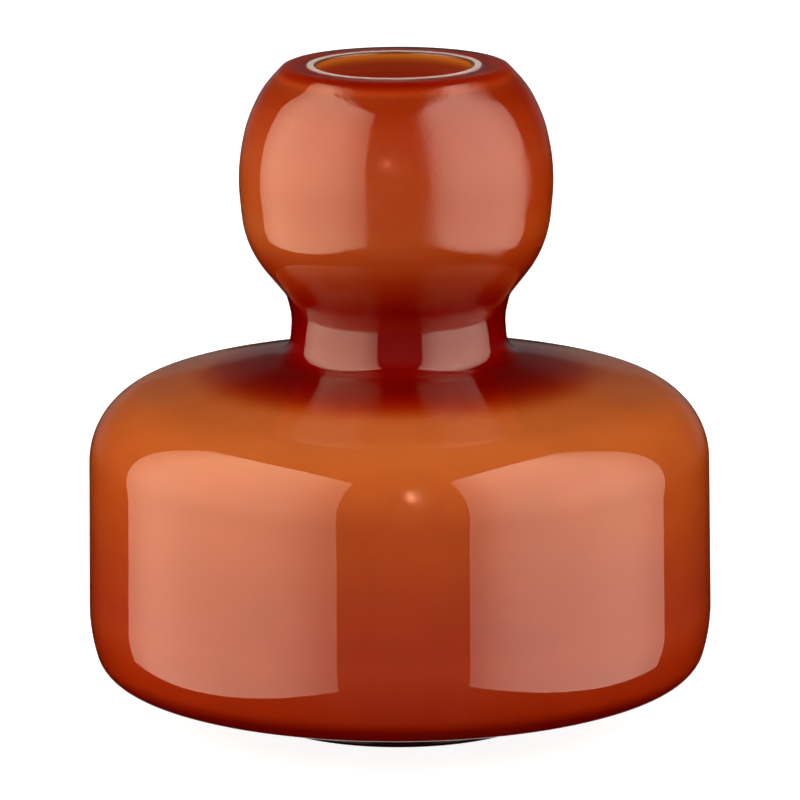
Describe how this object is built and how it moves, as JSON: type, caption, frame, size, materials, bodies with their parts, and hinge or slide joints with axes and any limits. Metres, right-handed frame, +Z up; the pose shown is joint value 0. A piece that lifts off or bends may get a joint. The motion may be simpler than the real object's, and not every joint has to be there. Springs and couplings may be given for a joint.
{
  "type": "bud vase",
  "caption": "Squat glass bud vase: a wide drum body with rounded shoulders, a short waisted neck and a ball top with a round polished mouth for a few stems.",
  "frame": {"origin": "middle of the flat face of the foot, on the surface that the vase stands on", "axes": "+Z up along the vase's axis, through the mouth; the vase is turned about Z, so X and Y are free"},
  "size_m": [0.0994, 0.0994, 0.105],
  "materials": {
    "casing_glass": "fire-polished transparent orange-red glass, thick and crimson in the neck, thin and orange on the shoulder",
    "opal_glass": "milky opal glass, seen bare only as the pale polished ring round the mouth",
    "lining_glass": "thin glossy amber glass on the inside",
    "foot_glass": "very dark red glass, ground flat and polished where it stands"
  },
  "bodies": {
    "root": {"outer_casing": "casing_glass", "opal_layer": "opal_glass", "inner_lining": "lining_glass", "foot_ring": "foot_glass"}
  },
  "joints": []
}
